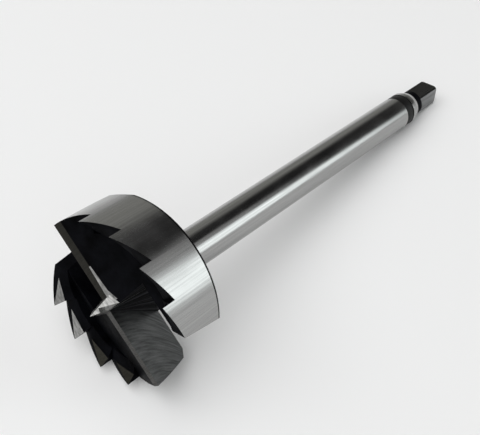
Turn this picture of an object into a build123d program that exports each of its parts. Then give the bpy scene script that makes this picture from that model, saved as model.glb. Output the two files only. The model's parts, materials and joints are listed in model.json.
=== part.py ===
from build123d import *
import os
from math import cos, radians, sin, tan

# Multi-spur bit: a one-piece steel boring bit with a toothed rim, two cutting lips,
# two chip throats and a ground centre point, and a rubber ring near its drive end.
#
# It is first built about its own axis. There z runs from the plane of the spur
# tips, z = 0, towards the drive end, x runs along the first lip, and the bit cuts
# turning from +y to +x. Then it is laid on its side as it comes to rest, with +Z
# up and the origin under the middle of its box.

# Rim and its spurs
HEAD_D = 55.0            # boring diameter, over the spur tips
HEAD_H = 19.3            # spur tips to the back face of the head
RIM_WALL = 5.5           # radial thickness of the rim
SPURS = 4                # spurs behind each lip
PITCH = 360 / 14         # angle from one spur tip to the next
LIP_LEAD = 4.9           # angle by which a lip's edge leads the spur pattern
GULLET_DEPTH = 4.6       # depth of the gullets behind the spur tips
SPUR_BEVEL_W = 1.8       # width of the flat ground inside each spur
SPUR_BEVEL_H = 3.0       # how far it falls across that width
SPUR_LEDGE_FALL = 0.4    # fall of the ledge inside it, per millimetre inwards
SPUR_GRIND_SKEW = 0.05   # fall of both, per millimetre back from the tip
BACK_CHAMFER = 0.55      # at the back edge of the rim

# Lips and recess
LIP_DROP = 0.8           # a lip's edge behind the spur tips
LAND_W = 3.3             # width of the land behind a lip's edge
LAND_RELIEF = 9.0        # degrees by which the land falls away
HEEL_W = 0.7             # the short step behind the land
HEEL_DROP = 0.3
FLOOR_SLOPE = 16.6       # degrees by which the recess floor falls away
GASH_L = 12.0            # the flat ground across the heel beside the point: its length
GASH_Y = 2.22            # where it leaves the land, on the bit's own cross line
GASH_TURN = 3.5          # degrees by which that edge turns towards the heel
GASH_SLOPE = 15.6        # degrees by which it falls away from the land

# Chip throats
RAKE = 24.0              # hook angle of the lip's face
THROAT_CORE = 1.5        # half thickness of the core at the spur tips
THROAT_CORE_SLOPE = 23.4 # degrees by which the core thickens towards the back
THROAT_CORE_TURN = 3.4   # degrees by which its wall turns off square to the lip
THROAT_PASS_TURN = 4.6   # degrees by which each further pass of the cutter turns it
THROAT_RIDGES = (6.0, 33.0, 63.0)  # degrees off the axis of the ridges between passes
THROAT_REACH = 16.0      # from a lip's edge to the far side of the throat
THROAT_END_TILT = 8.5    # degrees by which the rim end leans away
LIP_CORNER = 2.0         # facet at the outer back corner of a lip

# Centre point
POINT_OUT = 5.5          # beyond the spur tips
POINT_SIDE = 30.4        # half angle of the two faces along the lips
POINT_TURN = 20.7        # degrees by which those two faces are turned back
POINT_END = 17.0         # half angle of the two faces across the lips

# Shank and drive end
SHANK_D = 13.0
SHANK_L = 137.2          # plain shank, back of the head to the ring's groove
SHANK_ROOT_R = 1.0       # fillet where the shank leaves the head
SHANK_SEAT = 4.0         # how far its foot is sunk in the head
GROOVE_W = 4.7
GROOVE_D = 1.2
COLLAR_W = 4.6
COLLAR_CONE = 2.7        # length of the cone at the far end of the collar
COLLAR_STEP = 0.6        # height of the step from that cone to the neck
NECK_D = 10.0
NECK_L = 3.9
DRIVE_L = 13.2
DRIVE_FLATS = 7.5        # across flats
DRIVE_END_CHAMFER = 0.5

# Rubber ring
RING_PLAY = 0.03         # clearance all round the ring in its groove
RING_CROWN = 0.25        # how much its middle stands above its shoulders
RING_BELOW = 0.05        # its middle below the shank's surface

# Worked out from the sizes above
HEAD_R = HEAD_D / 2
RIM_IN = HEAD_R - RIM_WALL
SHANK_R = SHANK_D / 2
NECK_R = NECK_D / 2
GROOVE_Z = HEAD_H + SHANK_L
COLLAR_Z = GROOVE_Z + GROOVE_W
NECK_Z = COLLAR_Z + COLLAR_W
DRIVE_Z = NECK_Z + NECK_L
END_Z = DRIVE_Z + DRIVE_L
CLEAR = 5.0              # how far the cutting shapes run past the steel
RECESS_LAP = 0.05        # how far the ground ledges run into the recess


def prism(points, plane, length):
    """A closed outline on a plane, extruded to both sides of it."""
    with BuildPart() as solid:
        with BuildSketch(plane):
            Polygon(*points, align=None)
        extrude(amount=length / 2, both=True)
    return solid.part


def across_lip():
    """The plane square to the lips: its local x is +y, its local y is +z."""
    return Plane(origin=(0, 0, 0), x_dir=(0, 1, 0), z_dir=(1, 0, 0))


def along_lip():
    """The plane that holds the lips: its local x is +x, its local y is +z."""
    return Plane(origin=(0, 0, 0), x_dir=(1, 0, 0), z_dir=(0, -1, 0))


def both_halves(cutter):
    """The same cut on the two halves of the head, half a turn apart."""
    return [cutter, Rot(0, 0, 180) * cutter]


def head_blank():
    """The turned head, with its back edge broken."""
    edge = BACK_CHAMFER
    outline = [(0, 0), (HEAD_R, 0), (HEAD_R, HEAD_H - edge), (HEAD_R - edge, HEAD_H), (0, HEAD_H)]
    with BuildPart() as blank:
        with BuildSketch(along_lip()):
            Polygon(*outline, align=None)
        revolve(axis=Axis.Z)
    return blank.part


def shank_outline():
    """Half section of the shank, groove, collar, neck and drive stub, as one face."""
    groove_r = SHANK_R - GROOVE_D
    root_z = HEAD_H + SHANK_ROOT_R
    root_r = SHANK_R + SHANK_ROOT_R
    with BuildSketch(along_lip()) as half:
        with BuildLine():
            Polyline((SHANK_R, root_z), (SHANK_R, GROOVE_Z), (groove_r, GROOVE_Z), (groove_r, COLLAR_Z),
                     (SHANK_R, COLLAR_Z), (SHANK_R, NECK_Z - COLLAR_CONE), (NECK_R + COLLAR_STEP, NECK_Z),
                     (NECK_R, NECK_Z), (NECK_R, END_Z - DRIVE_END_CHAMFER),
                     (NECK_R - DRIVE_END_CHAMFER, END_Z), (0, END_Z), (0, HEAD_H - SHANK_SEAT),
                     (root_r, HEAD_H - SHANK_SEAT), (root_r, HEAD_H))
            RadiusArc((root_r, HEAD_H), (SHANK_R, root_z), -SHANK_ROOT_R)
        make_face()
    return half.sketch


def shank():
    """Shank and drive stub, turned, then squared."""
    stub = revolve(shank_outline(), axis=Axis.Z)
    for quarter in range(4):
        flat = Pos(DRIVE_FLATS / 2 + NECK_R, 0, (DRIVE_Z + END_Z) / 2 + CLEAR / 2) * Box(
            2 * NECK_R, 2 * NECK_D, DRIVE_L + CLEAR)
        stub -= Rot(0, 0, LIP_LEAD + 45 + 90 * quarter) * flat
    return stub


def centre_point():
    """The four-sided point, ground to a tip in front of the spurs."""
    depth = POINT_OUT + HEAD_H / 2
    wide = depth * tan(radians(POINT_SIDE))
    thin = depth * tan(radians(POINT_END))
    sides = prism([(0, -POINT_OUT), (wide, HEAD_H / 2), (-wide, HEAD_H / 2)], across_lip(), HEAD_D)
    ends = prism([(0, -POINT_OUT), (thin, HEAD_H / 2), (-thin, HEAD_H / 2)], along_lip(), HEAD_D)
    return Rot(0, 0, -POINT_TURN) * sides & ends


def spur_front(spur):
    """The plane of a spur's square front, facing the spur before it."""
    way = radians(LIP_LEAD + PITCH * spur)
    return Plane(origin=(0, 0, 0), z_dir=(sin(way), -cos(way), 0))


def recess():
    """What is cut from the front of one half: the land, the heel and the sloping floor.

    Inside the rim it takes the whole half. Over the rim it stops at the first spur.
    """
    heel_z = LIP_DROP + LAND_W * tan(radians(LAND_RELIEF))
    floor_y = LAND_W + HEEL_W
    floor_z = heel_z + HEEL_DROP
    far_z = floor_z + (HEAD_R - floor_y) * tan(radians(FLOOR_SLOPE))
    profile = [
        (-LAND_W, -CLEAR), (-LAND_W, LIP_DROP), (0, LIP_DROP), (LAND_W, heel_z),
        (floor_y, floor_z), (HEAD_R, far_z), (HEAD_R, -CLEAR),
    ]
    whole = prism(profile, across_lip(), HEAD_D + 2 * CLEAR)
    inside = whole & Cylinder(RIM_IN, 4 * HEAD_H)
    over_rim = split(whole, bisect_by=spur_front(1), keep=Keep.TOP)
    return inside + over_rim + gash()


def gash():
    """The flat ground across the heel beside the point."""
    turn, slope = tan(radians(GASH_TURN)), tan(radians(GASH_SLOPE))
    relief = tan(radians(LAND_RELIEF))
    start = (0, GASH_Y, LIP_DROP + GASH_Y * relief)
    face = Plane(origin=start, z_dir=((relief - slope) * turn, slope, -1))
    room = Pos(GASH_L / 2, LAND_W, 0) * Box(GASH_L, 2 * LAND_W, 2 * CLEAR)
    return split(room, bisect_by=face, keep=Keep.TOP)


def gullet(spur):
    """One straight-milled gullet: square in front of its spur, sloping up to the last."""
    run = HEAD_R * sin(radians(PITCH))
    past = run * (1 + CLEAR / GULLET_DEPTH)
    profile = [(0, GULLET_DEPTH), (0, -CLEAR), (-past, -CLEAR)]
    cut = Pos(HEAD_R, 0, 0) * prism(profile, across_lip(), 2 * RIM_WALL + CLEAR)
    return Rot(0, 0, LIP_LEAD + PITCH * spur) * cut - Cylinder(RIM_IN - RECESS_LAP, 4 * HEAD_H)


def spur_bevel(spur):
    """What is ground off inside a spur: a steep flat at its tip and a ledge inside that."""
    inner = RIM_IN - CLEAR
    foot = HEAD_R - SPUR_BEVEL_W
    ledge_z = SPUR_BEVEL_H + SPUR_LEDGE_FALL * (foot - inner)
    past = HEAD_R + CLEAR * SPUR_BEVEL_W / SPUR_BEVEL_H
    profile = [(inner, -CLEAR), (inner, ledge_z), (foot, SPUR_BEVEL_H), (HEAD_R, 0), (past, -CLEAR)]
    way = Vector(-tan(radians(PITCH / 2)), 1, SPUR_GRIND_SKEW)
    with BuildPart() as wheel:
        with BuildSketch(along_lip()):
            Polygon(*profile, align=None)
        extrude(amount=HEAD_R, dir=way)
    ground = Rot(0, 0, LIP_LEAD + PITCH * spur) * wheel.part
    if spur < SPURS:
        ground = split(ground, bisect_by=spur_front(spur + 1), keep=Keep.TOP)
    return ground - Cylinder(RIM_IN - RECESS_LAP, 4 * HEAD_H)


def throat_core():
    """The core left between the throats, on the side of the second lip's throat.

    Its wall is a fan of flat passes through one corner at the front.
    """
    turn, slope = tan(radians(THROAT_CORE_TURN)), tan(radians(THROAT_CORE_SLOPE))
    corner = (-THROAT_CORE, 0, 0)
    core = Box(4 * HEAD_D, 4 * HEAD_D, 4 * HEAD_D)
    core = split(core, bisect_by=Plane(origin=corner, z_dir=(1, -turn, slope)), keep=Keep.TOP)
    for ridge in THROAT_RIDGES:
        more = tan(radians(THROAT_PASS_TURN))
        turn += more
        slope += more * tan(radians(ridge))
        core = split(core, bisect_by=Plane(origin=corner, z_dir=(1, -turn, slope)), keep=Keep.TOP)
    return core


def throat():
    """The chip throat in front of the second lip, right through the head."""
    front, back, far = -CLEAR, HEAD_H + CLEAR, HEAD_D
    hook, lean = tan(radians(RAKE)), tan(radians(THROAT_END_TILT))
    under_lip = [
        (-hook * (front - LIP_DROP), front), (-hook * (back - LIP_DROP), back),
        (far, back), (far, front),
    ]
    end = [
        (lean * (front - GULLET_DEPTH), front), (lean * (back - GULLET_DEPTH), back),
        (far, back), (far, front),
    ]
    reach = Pos(0, THROAT_REACH - far, 0) * Box(4 * far, 2 * far, 4 * far)
    past_rim = Rot(0, 0, LIP_LEAD + PITCH * (SPURS + 1)) * prism(end, across_lip(), 4 * far)
    ahead = prism(under_lip, across_lip(), 4 * far)
    return (ahead & reach) + (ahead & past_rim) - throat_core()


def lip_corner():
    """The facet at the outer back corner of the first lip."""
    corner_y = tan(radians(RAKE)) * (HEAD_H - LIP_DROP)
    corner_x = (HEAD_R ** 2 - corner_y ** 2) ** 0.5
    face = Plane(origin=(corner_x, corner_y, HEAD_H - LIP_CORNER), z_dir=(corner_x, corner_y, HEAD_R))
    return split(Box(4 * HEAD_D, 4 * HEAD_D, 4 * HEAD_D), bisect_by=face, keep=Keep.TOP)


def bit_body():
    """The whole steel bit about its own axis."""
    point = centre_point()
    front = both_halves(recess() - point)
    for spur in range(2, SPURS + 2):
        front += both_halves(gullet(spur))
    inside = []
    for spur in range(1, SPURS + 1):
        inside += both_halves(spur_bevel(spur))
    head = head_blank() - front - inside + point
    return head - both_halves(throat()) - both_halves(lip_corner()) + shank()


def rubber_ring():
    """The crowned ring in the groove near the drive end."""
    low = GROOVE_Z + RING_PLAY
    high = COLLAR_Z - RING_PLAY
    inner = SHANK_R - GROOVE_D + RING_PLAY
    crown = SHANK_R - RING_BELOW
    shoulder = crown - RING_CROWN
    with BuildPart() as ring:
        with BuildSketch(along_lip()):
            with BuildLine():
                Polyline((shoulder, high), (inner, high), (inner, low), (shoulder, low))
                ThreePointArc((shoulder, low), (crown, (low + high) / 2), (shoulder, high))
            make_face()
        revolve(axis=Axis.Z)
    return ring.part


def rest_plane():
    """The floor under the bit, in its own axes: it lies on its rim and on one drive flat.

    The plane's x runs along the floor towards the drive end, and its normal points up.
    """
    under = LIP_LEAD + 45 + 180
    down = Vector(cos(radians(under)), sin(radians(under)), 0)
    along = Vector(0, 0, 1)
    at_rim = down * HEAD_R + along * (HEAD_H - BACK_CHAMFER)
    at_drive = down * (DRIVE_FLATS / 2) + along * END_Z
    floor_x = (at_drive - at_rim).normalized()
    side = along.cross(down)
    return Plane(origin=at_rim, x_dir=floor_x, z_dir=floor_x.cross(side))


def laid_down(solids):
    """The pieces as they lie on the floor, centred over the origin."""
    floor = rest_plane()
    lying = {name: floor.to_local_coords(solid) for name, solid in solids.items()}
    box = lying["bit_body"].bounding_box()
    centre = box.center()
    return {name: Pos(-centre.X, -centre.Y, -box.min.Z) * solid for name, solid in lying.items()}


os.makedirs("parts", exist_ok=True)
for name, solid in laid_down({"bit_body": bit_body(), "rubber_ring": rubber_ring()}).items():
    export_step(solid, f"parts/{name}.step")
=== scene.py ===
import bpy
import json
from math import cos, radians, sin, tan
from mathutils import Matrix, Vector

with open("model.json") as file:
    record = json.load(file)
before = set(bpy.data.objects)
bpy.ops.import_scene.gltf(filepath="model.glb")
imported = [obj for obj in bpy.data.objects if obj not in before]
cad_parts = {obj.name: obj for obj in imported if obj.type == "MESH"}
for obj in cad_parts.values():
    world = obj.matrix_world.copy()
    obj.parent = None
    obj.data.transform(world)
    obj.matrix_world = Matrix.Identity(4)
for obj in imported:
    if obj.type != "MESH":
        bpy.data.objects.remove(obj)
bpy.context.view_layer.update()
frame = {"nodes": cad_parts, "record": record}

# The bit's own axes: z from the plane of the spur tips to the drive end, x along the
# first lip. Lengths in them are millimetres, and angles are degrees.
MM = 0.001                # a millimetre in metres
HEAD_R = 27.5             # boring radius
HEAD_H = 19.3             # spur tips to the back face of the head
PITCH = 360 / 14          # angle from one spur tip to the next
LIP_LEAD = 4.9            # angle by which a lip's edge leads the spur pattern
LIP_DROP = 0.8            # a lip's edge behind the spur tips
LAND_W = 3.3              # width of the land behind a lip's edge
LAND_RELIEF = 9.0         # angle by which the land falls away
RAKE = 24.0               # hook angle of a lip's face
GASH_L = 12.0             # the flat ground beside the point: its length
GASH_Y = 2.22             # where it leaves the land, on the bit's own cross line
GASH_SLOPE = 15.6         # angle by which it falls away from the land
GASH_TURN = 3.5           # angle by which that edge turns towards the heel
BEVEL_NORMAL = (-0.845, -0.168, -0.507)   # of the flat inside a spur at angle 0
SHANK_L = 137.2           # plain shank, back of the head to the ring's groove
GROOVE_W = 4.7
COLLAR_W = 4.6
NECK_L = 3.9
NECK_Z = HEAD_H + SHANK_L + GROOVE_W + COLLAR_W
DRIVE_Z = NECK_Z + NECK_L
SHANK_MOUNT_Z = 88.4      # the shank mount's place along the bit
UP_FROM_LIP = LIP_LEAD + 45   # angle from the first lip to the side that lies uppermost

# How the faces of the bit are told apart
NEAR = 0.04               # how near a plane counts as on it
RIM_FROM = 24.0           # radius outside which the flats inside the spurs lie
GASH_LAP = 1.0            # how far the gash's edge may come towards the lip
POINT_R = 8.0             # radius within which the faces at the point's foot lie
POINT_Z = 3.0             # how far back they reach
POINT_LEAN = (-0.65, -0.2)    # least and most z of their normals
WALL_TURN = 0.5           # most y of the normal of a throat's wall

# Least cosine of the angle from a face's normal to the way that it should face, for
# the flats inside the spurs, the back of the head, the drive flats kept out of the
# painted shade and the walls
BEVEL_AIM = 0.99
BACK_AIM = 0.98
DRIVE_AIM = 0.9
WALL_AIM = 0.8

# The finishes of the flats inside the spurs, which are counted from their lip, and of
# the gash on the first lip's half of the head, 1, and on the second's, -1. These flats are
# ground alike: the dark land finish on spurs 1 and 2 and on the second gash is painted shade.
SPUR_FINISHES_PAINTED_SHADE = {1: "land", 2: "land", 3: "stoned", 4: "stoned"}
GASH_FINISHES_PAINTED_SHADE = {1: "stoned", -1: "land"}

# The steel's broken edges
EDGE_BREAK = 0.12         # width
EDGE_STEPS = 2
EDGE_ANGLE = 35           # an edge that turns less isn't broken
JOIN_WITHIN = 0.002       # how near vertices are joined
FLAT_WITHIN = 0.3         # how far faces may turn and count as one flat

# Finishes
ARC_MIDDLE = -2.7         # where the arcs on a lip's face are square to it
FILM_TONE = (0.004, 0.004, 0.004)
FILM_SHARE = 0.2          # share of a ramp of tones that fades into the film
FILM_FADE = 0.05          # half width of the film's edge
FILM_AT_BACK = 1.0        # width of the film left along the back edge of the rim
NO_FILM = 1000.0          # a place past the end of the bit
NOISE_LOW = 0.3           # noise seldom leaves this range
NOISE_HIGH = 0.7
EVEN = (0.85, 1.2)        # shares of a roughness, where noise is low and where it is high
SCORED = (1.2, 0.8)
RIDGED = (1.2, 0.7)
GRAINED = (0.84, 1.2)

# The camera, in millimetres in the frame that the bit lies in
CAMERA_AT = (-181.1, -138.0, 215.3)
CAMERA_LOOK = (0.5394, 0.4874, -0.6866)
CAMERA_UP = (0.5393, 0.4262, 0.7263)
CAMERA_LENS = 64.07
CAMERA_SENSOR = 36.0
CAMERA_CLIP = (0.01, 10)  # in metres

# Floor and lamp, in metres and watts
FLOOR_HALF = 2.0
FLOOR_TONE = 0.93
FLOOR_ROUGHNESS = 0.8
OVERHEAD_AT = (-0.38, 0.22, 1.40)
OVERHEAD_AIM = (-0.03, 0.0, 0.0)
OVERHEAD_SIZE = 2.1
OVERHEAD_POWER = 18.5

# Soft patches of the surround: azimuth and elevation, inner and outer half angle,
# brightness, and tint. Angles are degrees.
WARM = (1.0, 1.0, 0.94)
COOL = (0.95, 1.0, 1.0)
PLAIN = (1.0, 1.0, 1.0)
SURROUND_BASE = 0.02
SURROUND = {
    "side_key": (-54, 12, 13, 23, 2.6, COOL),
    "above_key": (-40, 38, 6, 15, 0.55, PLAIN),
    "far_side": (50, 14, 18, 40, 0.36, WARM),
    "behind": (0, 0, 12, 30, 0.30, WARM),
    "camera_side": (-128, 32, 15, 40, 0.35, PLAIN),
    "in_front": (180, 40, 40, 80, 0.50, PLAIN),
}
HORIZON_FULL = 3          # elevation up to which the band along the horizon is full
HORIZON_GONE = 13         # elevation at which it is gone
HORIZON_LIGHT = 0.62


def shank_mount():
    """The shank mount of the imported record."""
    return next(m for m in frame["record"]["mounts"] if m["name"] == "shank")


def bit_axes():
    """The matrix from the bit's own axes, in millimetres, to the frame, in metres."""
    mount = shank_mount()
    along = Vector(mount["axis"]).normalized()
    up = Vector((0, 0, 1))
    up = (up - along * up.dot(along)).normalized()
    side = along.cross(up)
    turn = radians(UP_FROM_LIP)
    lip = up * cos(turn) - side * sin(turn)
    origin = Vector(mount["pos_m"]) - along * SHANK_MOUNT_Z * MM
    axes = Matrix((lip, along.cross(lip), along)).transposed()
    return Matrix.Translation(origin) @ (axes * MM).to_4x4()


TO_BIT = bit_axes().inverted()


class Finish:
    """A material under making: its nodes, its shader and the bit's own coordinates."""

    def __init__(self, name, metallic, specular=0.5):
        self.material = bpy.data.materials.new(name)
        self.material.use_nodes = True
        self.nodes = self.material.node_tree.nodes
        self.links = self.material.node_tree.links
        self.shader = self.nodes["Principled BSDF"]
        self.shader.inputs["Metallic"].default_value = metallic
        self.shader.inputs["Specular IOR Level"].default_value = specular
        self.coords = self.bit_coords()
        self.normal = None

    def bit_coords(self):
        """Texture coordinates in the bit's own axes, in millimetres."""
        at = self.nodes.new("ShaderNodeTexCoord")
        turn = self.nodes.new("ShaderNodeMapping")
        place, rotation, scale = TO_BIT.decompose()
        turn.inputs["Location"].default_value = place
        turn.inputs["Rotation"].default_value = rotation.to_euler()
        turn.inputs["Scale"].default_value = scale
        self.links.new(at.outputs["Object"], turn.inputs["Vector"])
        return turn.outputs["Vector"]

    def along(self, *axes):
        """The coordinate along each axis that is named."""
        made = self.nodes.new("ShaderNodeSeparateXYZ")
        self.links.new(self.coords, made.inputs["Vector"])
        return [made.outputs[axis] for axis in axes]

    def math(self, operation, first, second=None):
        """The result of a math node on one or two values."""
        made = self.nodes.new("ShaderNodeMath")
        made.operation = operation
        for socket, value in zip(made.inputs, (first, second)):
            if isinstance(value, (int, float)):
                socket.default_value = value
            elif value is not None:
                self.links.new(value, socket)
        return made.outputs["Value"]

    def square(self, value):
        """A value times itself."""
        return self.math("MULTIPLY", value, value)

    def vector(self, value, across=None):
        """A vector that holds one or two values, for noise over them."""
        made = self.nodes.new("ShaderNodeCombineXYZ")
        self.links.new(value, made.inputs["X"])
        if across:
            self.links.new(across, made.inputs["Y"])
        return made.outputs["Vector"]

    def noise(self, scale, detail=3.0, rough=0.55, of=None):
        """Noise over the coordinates or another vector, with a scale for each axis."""
        squeeze = self.nodes.new("ShaderNodeVectorMath")
        squeeze.operation = "MULTIPLY"
        squeeze.inputs[1].default_value = scale
        self.links.new(of or self.coords, squeeze.inputs[0])
        made = self.nodes.new("ShaderNodeTexNoise")
        made.inputs["Scale"].default_value = 1.0
        made.inputs["Detail"].default_value = detail
        made.inputs["Roughness"].default_value = rough
        self.links.new(squeeze.outputs["Vector"], made.inputs["Vector"])
        return made.outputs["Fac"]

    def spread(self, value, low, high, start=NOISE_LOW, stop=NOISE_HIGH):
        """A value mapped from start..stop to low..high."""
        made = self.nodes.new("ShaderNodeMapRange")
        made.inputs["From Min"].default_value = start
        made.inputs["From Max"].default_value = stop
        made.inputs["To Min"].default_value = low
        made.inputs["To Max"].default_value = high
        self.links.new(value, made.inputs["Value"])
        return made.outputs["Result"]

    def colour(self, value, dark, light, start=NOISE_LOW, stop=NOISE_HIGH):
        """Gives the shader a colour between two tones, by a value."""
        made = self.nodes.new("ShaderNodeMix")
        made.data_type = "RGBA"
        made.inputs["A"].default_value = (*dark, 1)
        made.inputs["B"].default_value = (*light, 1)
        self.links.new(self.spread(value, 0, 1, start, stop), made.inputs["Factor"])
        self.links.new(made.outputs["Result"], self.shader.inputs["Base Color"])

    def tones(self, value, stops):
        """Gives the shader a colour from a ramp of tones, by a value."""
        made = self.nodes.new("ShaderNodeValToRGB")
        ramp = made.color_ramp
        for element, (at, tone) in zip(ramp.elements, (stops[0], stops[-1])):
            element.position = at
            element.color = (*tone, 1)
        for at, tone in stops[1:-1]:
            ramp.elements.new(at).color = (*tone, 1)
        self.links.new(value, made.inputs["Fac"])
        self.links.new(made.outputs["Color"], self.shader.inputs["Base Color"])

    def rough(self, value, roughness, shares):
        """Gives the shader a roughness between two shares of one, by a value."""
        low, high = (roughness * share for share in shares)
        self.links.new(self.spread(value, low, high), self.shader.inputs["Roughness"])

    def bump(self, height, depth):
        """Adds bump of this depth, in millimetres, over what is there."""
        made = self.nodes.new("ShaderNodeBump")
        made.inputs["Distance"].default_value = depth * MM
        self.links.new(height, made.inputs["Height"])
        if self.normal:
            self.links.new(self.normal, made.inputs["Normal"])
        self.normal = made.outputs["Normal"]
        self.links.new(self.normal, self.shader.inputs["Normal"])


def ground_steel(name, dark, light, roughness, film_from=NO_FILM):
    """Cylindrically ground steel: streaks along the axis, and fine rings round it.

    Past film_from along the axis, the black film was left on.
    """
    made = Finish(name, metallic=1.0)
    streaks = made.noise(scale=(1.6, 1.6, 0.03), detail=4)
    rings = made.noise(scale=(0.02, 0.02, 3.0), detail=3)
    cloud = made.noise(scale=(0.15, 0.15, 0.10), detail=5)
    z = made.along("Z")[0]
    bare = made.spread(z, 1, 0, start=film_from - FILM_FADE, stop=film_from + FILM_FADE)
    tone = made.math("MULTIPLY", made.spread(streaks, FILM_SHARE, 1), bare)
    made.tones(tone, [(0.0, FILM_TONE), (FILM_SHARE, dark), (1.0, light)])
    made.rough(cloud, roughness, EVEN)
    made.bump(rings, depth=0.004)
    return made.material


def turned_steel(name, dark, light, roughness):
    """A faced-off end: fine rings about the axis."""
    made = Finish(name, metallic=1.0)
    x, y = made.along("X", "Y")
    radius = made.math("SQRT", made.math("ADD", made.square(x), made.square(y)))
    rings = made.noise(scale=(2.2, 1, 1), detail=2, of=made.vector(radius))
    cloud = made.noise(scale=(0.15, 0.15, 0.15), detail=5)
    made.colour(cloud, dark, light)
    made.rough(rings, roughness, EVEN)
    made.bump(rings, depth=0.012)
    return made.material


def oxide(name, dark, light, roughness):
    """The blue-black film left by heat treatment, mottled, with a faint sheen."""
    made = Finish(name, metallic=0.0, specular=0.02)
    cloud = made.noise(scale=(0.16, 0.16, 0.16), detail=6, rough=0.62)
    fine = made.noise(scale=(3.0, 3.0, 3.0))
    made.colour(cloud, dark, light)
    made.rough(cloud, roughness, SCORED)
    made.bump(fine, depth=0.03)
    return made.material


def fan_milled(name, dark, light, roughness):
    """A throat's wall: black, with ridges that fan out from beside the point."""
    made = Finish(name, metallic=0.0, specular=0.03)
    y, z = made.along("Y", "Z")
    angle = made.math("ARCTAN2", made.math("ABSOLUTE", y), z)
    fan = made.noise(scale=(6.0, 1, 1), detail=3, rough=0.6, of=made.vector(angle))
    fine = made.noise(scale=(3.0, 3.0, 3.0))
    made.colour(fan, dark, light, start=0.48, stop=0.66)
    made.rough(fan, roughness, RIDGED)
    made.bump(fan, depth=0.5)
    made.bump(fine, depth=0.03)
    return made.material


def arc_milled(name, dark, light, roughness, cutter):
    """A lip's face, with the shallow arcs of a cutter of this radius that ran along it."""
    made = Finish(name, metallic=1.0)
    x, z = made.along("X", "Z")
    back = made.math("DIVIDE", made.math("SUBTRACT", z, ARC_MIDDLE), cos(radians(RAKE)))
    reach = made.math("SQRT", made.math("SUBTRACT", cutter ** 2, made.square(back)))
    run = made.math("ADD", made.math("ABSOLUTE", x), reach)
    arcs = made.noise(scale=(1.3, 0.15, 1), detail=4, rough=0.6, of=made.vector(run, back))
    cloud = made.noise(scale=(0.25, 0.25, 0.25), detail=4)
    made.colour(arcs, dark, light)
    made.rough(cloud, roughness, EVEN)
    made.bump(arcs, depth=0.015)
    return made.material


def stoned(name, dark, light, roughness, scale, depth):
    """Steel ground or rubbed on a stone: scratches, longest along the axis of least scale."""
    made = Finish(name, metallic=1.0)
    scratches = made.noise(scale, detail=4, rough=0.65)
    made.colour(scratches, dark, light)
    made.rough(scratches, roughness, SCORED)
    made.bump(scratches, depth)
    return made.material


def black_rubber(name, dark, light, roughness):
    """Moulded black rubber with a faint grain."""
    made = Finish(name, metallic=0.0, specular=0.2)
    grain = made.noise(scale=(3.0, 3.0, 3.0), detail=4)
    made.colour(grain, dark, light)
    made.rough(grain, roughness, GRAINED)
    made.bump(grain, depth=0.02)
    return made.material


# The finishes of the steel, in the order of its material slots
FINISHES = [
    ground_steel("rim_ground", dark=(0.30, 0.30, 0.296), light=(0.40, 0.40, 0.396),
                 roughness=0.22, film_from=HEAD_H - FILM_AT_BACK),
    ground_steel("shank_ground", dark=(0.30, 0.30, 0.296), light=(0.38, 0.38, 0.376),
                 roughness=0.20),
    turned_steel("back_turned", dark=(0.30, 0.30, 0.30), light=(0.38, 0.38, 0.38),
                 roughness=0.30),
    oxide("oxide", dark=(0.0003, 0.0003, 0.0004), light=(0.0040, 0.0043, 0.0060),
          roughness=0.50),
    fan_milled("throat_wall", dark=(0.0004, 0.0004, 0.0005), light=(0.034, 0.034, 0.038),
               roughness=0.42),
    # The land's own dark finish; spurs 1 and 2 and the second gash also wear it as painted
    # shade.
    stoned("land", dark=(0.016, 0.015, 0.012), light=(0.028, 0.027, 0.023),
           roughness=0.40, scale=(4.0, 0.3, 1.0), depth=0.01),
    arc_milled("rake", dark=(0.045, 0.047, 0.047), light=(0.135, 0.139, 0.139),
               roughness=0.38, cutter=30.0),
    stoned("stoned", dark=(0.15, 0.15, 0.147), light=(0.42, 0.42, 0.41),
           roughness=0.34, scale=(0.5, 0.5, 3.0), depth=0.02),
    # The drive end's steel, and a darker copy of it that is painted shade on all of the drive
    # end but its two side flats
    stoned("drive_flat", dark=(0.13, 0.134, 0.134), light=(0.20, 0.205, 0.205),
           roughness=0.35, scale=(1.2, 1.2, 0.15), depth=0.008),
    stoned("drive_painted_shade", dark=(0.010, 0.010, 0.009), light=(0.030, 0.030, 0.028),
           roughness=0.30, scale=(1.2, 1.2, 0.15), depth=0.008),
    stoned("worn_edge", dark=(0.02, 0.02, 0.02), light=(0.15, 0.15, 0.15),
           roughness=0.42, scale=(0.6, 0.6, 0.6), depth=0.004),
]


def on_rake(point):
    """Whether a point is on the face of the first lip."""
    slope = radians(RAKE)
    off = point.y * cos(slope) - (point.z - LIP_DROP) * sin(slope)
    return abs(off) < NEAR and point.x > 0


def on_land(point):
    """Whether a point is on the land behind the first lip."""
    level = LIP_DROP + point.y * tan(radians(LAND_RELIEF))
    return abs(point.z - level) < NEAR and -NEAR < point.y < LAND_W + NEAR


def on_gash(point):
    """Whether a point is on the flat ground beside the point, behind the first lip."""
    relief, slope, turn = (tan(radians(a)) for a in (LAND_RELIEF, GASH_SLOPE, GASH_TURN))
    level = LIP_DROP + GASH_Y * relief + (point.y - GASH_Y) * slope
    level += (relief - slope) * turn * point.x
    in_length = -NEAR < point.x < GASH_L + NEAR
    return abs(point.z - level) < NEAR and in_length and point.y > GASH_Y - GASH_LAP


def spur_finish(normal):
    """The finish of the flat inside a spur of the first lip, by its normal, or None; on spurs 1
    and 2 this is the dark land finish, put there as painted shade.
    """
    for spur, finish in SPUR_FINISHES_PAINTED_SHADE.items():
        turned = Matrix.Rotation(radians(LIP_LEAD + PITCH * spur), 3, "Z") @ Vector(BEVEL_NORMAL)
        if turned.dot(normal) > BEVEL_AIM:
            return finish
    return None


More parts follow.
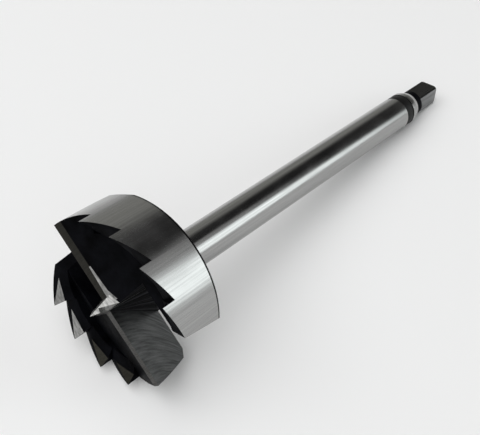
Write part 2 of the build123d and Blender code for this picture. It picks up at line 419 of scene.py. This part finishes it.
def half_finish(corners, normal, radius, gash):
    """The finish of a face on the first lip's half of the head, or None if it is another."""
    if all(on_rake(corner) for corner in corners):
        return "rake"
    if all(on_land(corner) for corner in corners):
        return "land"
    if all(on_gash(corner) for corner in corners):
        return gash
    bevel = spur_finish(normal)
    if bevel and radius > RIM_FROM:
        return bevel
    if normal.x < -WALL_AIM and abs(normal.y) < WALL_TURN and corners[0].x < 0:
        return "throat_wall"
    return None


def on_point(middle, normal):
    """Whether a face is the centre point's: in front of the spurs, or leaning by its foot."""
    least, most = POINT_LEAN
    by_foot = middle.xy.length < POINT_R and middle.z < POINT_Z
    return middle.z < 0 or (by_foot and least < normal.z < most)


def shank_finish(z, normal):
    """The finish of a face behind the head, by its place along the bit."""
    if z > DRIVE_Z:
        # Only the two flats that face this side way keep the steel's grey; every other face of
        # the drive end, the upper ones among them, gets a darker copy as painted shade.
        bare = Matrix.Rotation(radians(UP_FROM_LIP + 90), 3, "Z") @ Vector((1, 0, 0))
        return "drive_flat" if abs(normal.dot(bare)) > DRIVE_AIM else "drive_painted_shade"
    if z > NECK_Z - NEAR:
        return "oxide"
    return "shank_ground"


def finish_of(corners, normal):
    """The name of the finish on a face, by its corners and normal in the bit's own axes."""
    middle = sum(corners, Vector()) / len(corners)
    if middle.z > HEAD_H + NEAR:
        return shank_finish(middle.z, normal)
    if normal.z > BACK_AIM:
        return "back_turned"
    if all(corner.xy.length > HEAD_R - NEAR for corner in corners):
        return "rim_ground"
    if on_point(middle, normal):
        return "stoned"
    # The gash on the second lip's half gets the dark land finish as painted shade.
    for side, gash in GASH_FINISHES_PAINTED_SHADE.items():
        flip = Vector((side, side, 1))
        turned = [corner * flip for corner in corners]
        found = half_finish(turned, normal * flip, middle.xy.length, gash)
        if found:
            return found
    return "oxide"


def dress_bit():
    """Gives each face of the steel node its finish, and softens its edges."""
    node = frame["nodes"]["bit_body"]
    mesh = node.data
    mesh.materials.clear()
    for finish in FINISHES:
        mesh.materials.append(finish)
    slot = {finish.name: i for i, finish in enumerate(FINISHES)}
    turn = TO_BIT.to_3x3()
    for face in mesh.polygons:
        corners = [TO_BIT @ mesh.vertices[i].co for i in face.vertices]
        normal = (turn @ face.normal).normalized()
        face.material_index = slot[finish_of(corners, normal)]
    soften(node, slot["worn_edge"])


def soften(node, worn):
    """Breaks a node's edges by a small worn bevel, over joined vertices."""
    mesh = node.data
    if "custom_normal" in mesh.attributes:
        mesh.attributes.remove(mesh.attributes["custom_normal"])
    for face in mesh.polygons:
        face.use_smooth = True
    join = node.modifiers.new("join", "WELD")
    join.merge_threshold = JOIN_WITHIN * MM
    flat = node.modifiers.new("flat", "DECIMATE")
    flat.decimate_type = "DISSOLVE"
    flat.angle_limit = radians(FLAT_WITHIN)
    flat.delimit = {"MATERIAL"}
    edge = node.modifiers.new("edge", "BEVEL")
    edge.width = EDGE_BREAK * MM
    edge.segments = EDGE_STEPS
    edge.limit_method = "ANGLE"
    edge.angle_limit = radians(EDGE_ANGLE)
    edge.use_clamp_overlap = True
    edge.material = worn
    weigh = node.modifiers.new("weigh", "WEIGHTED_NORMAL")
    weigh.keep_sharp = True


def dress_ring():
    """Gives the ring its rubber."""
    mesh = frame["nodes"]["rubber_ring"].data
    mesh.materials.clear()
    mesh.materials.append(black_rubber(
        "black_rubber", dark=(0.002, 0.002, 0.002), light=(0.006, 0.006, 0.006), roughness=0.5))


def camera():
    """The camera, at the photograph's angle on the bit."""
    data = bpy.data.cameras.new("camera")
    data.lens = CAMERA_LENS
    data.sensor_width = CAMERA_SENSOR
    data.clip_start, data.clip_end = CAMERA_CLIP
    made = bpy.data.objects.new("camera", data)
    bpy.context.scene.collection.objects.link(made)
    look = Vector(CAMERA_LOOK).normalized()
    right = look.cross(Vector(CAMERA_UP)).normalized()
    turn = Matrix((right, right.cross(look), -look)).transposed()
    made.matrix_world = Matrix.Translation(Vector(CAMERA_AT) * MM) @ turn.to_4x4()
    bpy.context.scene.camera = made


def floor():
    """A wide pale floor."""
    ways = [(-1, -1), (1, -1), (1, 1), (-1, 1)]
    mesh = bpy.data.meshes.new("floor")
    mesh.from_pydata([(x * FLOOR_HALF, y * FLOOR_HALF, 0) for x, y in ways], [], [(0, 1, 2, 3)])
    made = bpy.data.objects.new("floor", mesh)
    bpy.context.scene.collection.objects.link(made)
    pale = bpy.data.materials.new("floor_pale")
    pale.use_nodes = True
    shader = pale.node_tree.nodes["Principled BSDF"]
    shader.inputs["Base Color"].default_value = (FLOOR_TONE, FLOOR_TONE, FLOOR_TONE, 1)
    shader.inputs["Roughness"].default_value = FLOOR_ROUGHNESS
    mesh.materials.append(pale)


def overhead():
    """One large soft light over the bit."""
    data = bpy.data.lights.new("overhead", "AREA")
    data.shape = "SQUARE"
    data.size = OVERHEAD_SIZE
    data.energy = OVERHEAD_POWER
    made = bpy.data.objects.new("overhead", data)
    bpy.context.scene.collection.objects.link(made)
    made.location = OVERHEAD_AT
    away = Vector(OVERHEAD_AIM) - Vector(OVERHEAD_AT)
    made.rotation_euler = away.to_track_quat("-Z", "Y").to_euler()


def vector_node(tree, operation, first, second):
    """A vector node on two inputs, each a link or a value."""
    made = tree.nodes.new("ShaderNodeVectorMath")
    made.operation = operation
    for socket, value in zip(made.inputs, (first, second)):
        if isinstance(value, tuple):
            socket.default_value = value
        else:
            tree.links.new(value, socket)
    return made


def fade(tree, value, gone, full, brightness):
    """A brightness that grows softly from nothing at gone to all of it at full."""
    made = tree.nodes.new("ShaderNodeMapRange")
    made.interpolation_type = "SMOOTHSTEP"
    made.inputs["From Min"].default_value = gone
    made.inputs["From Max"].default_value = full
    made.inputs["To Max"].default_value = brightness
    tree.links.new(value, made.inputs["Value"])
    return made.outputs["Result"]


def tinted(tree, brightness, tint):
    """A tint times a brightness."""
    made = tree.nodes.new("ShaderNodeVectorMath")
    made.operation = "SCALE"
    made.inputs[0].default_value = tint
    tree.links.new(brightness, made.inputs["Scale"])
    return made.outputs["Vector"]


def glow(tree, way, azimuth, elevation, inner, outer, brightness, tint):
    """The light of one soft round patch of the surround."""
    turn, rise = radians(azimuth), radians(elevation)
    centre = (cos(rise) * cos(turn), cos(rise) * sin(turn), sin(rise))
    facing = vector_node(tree, "DOT_PRODUCT", way, centre).outputs["Value"]
    patch = fade(tree, facing, cos(radians(outer)), cos(radians(inner)), brightness)
    return tinted(tree, patch, tint)


def horizon(tree, way):
    """The light of the pale band along the horizon."""
    apart = tree.nodes.new("ShaderNodeSeparateXYZ")
    tree.links.new(way, apart.inputs["Vector"])
    gone, full = sin(radians(HORIZON_GONE)), sin(radians(HORIZON_FULL))
    band = fade(tree, apart.outputs["Z"], gone, full, HORIZON_LIGHT)
    return tinted(tree, band, PLAIN)


def surround():
    """A dim studio round the bit, with soft pale patches and a pale horizon."""
    world = bpy.data.worlds.new("surround")
    bpy.context.scene.world = world
    world.use_nodes = True
    tree = world.node_tree
    way = tree.nodes.new("ShaderNodeTexCoord").outputs["Generated"]
    total = (SURROUND_BASE, SURROUND_BASE, SURROUND_BASE)
    for patch in SURROUND.values():
        total = vector_node(tree, "ADD", glow(tree, way, *patch), total).outputs["Vector"]
    total = vector_node(tree, "MAXIMUM", total, horizon(tree, way)).outputs["Vector"]
    tree.links.new(total, tree.nodes["Background"].inputs["Color"])


camera()
floor()
overhead()
surround()
dress_bit()
dress_ring()
bpy.context.scene.view_settings.view_transform = "Standard"
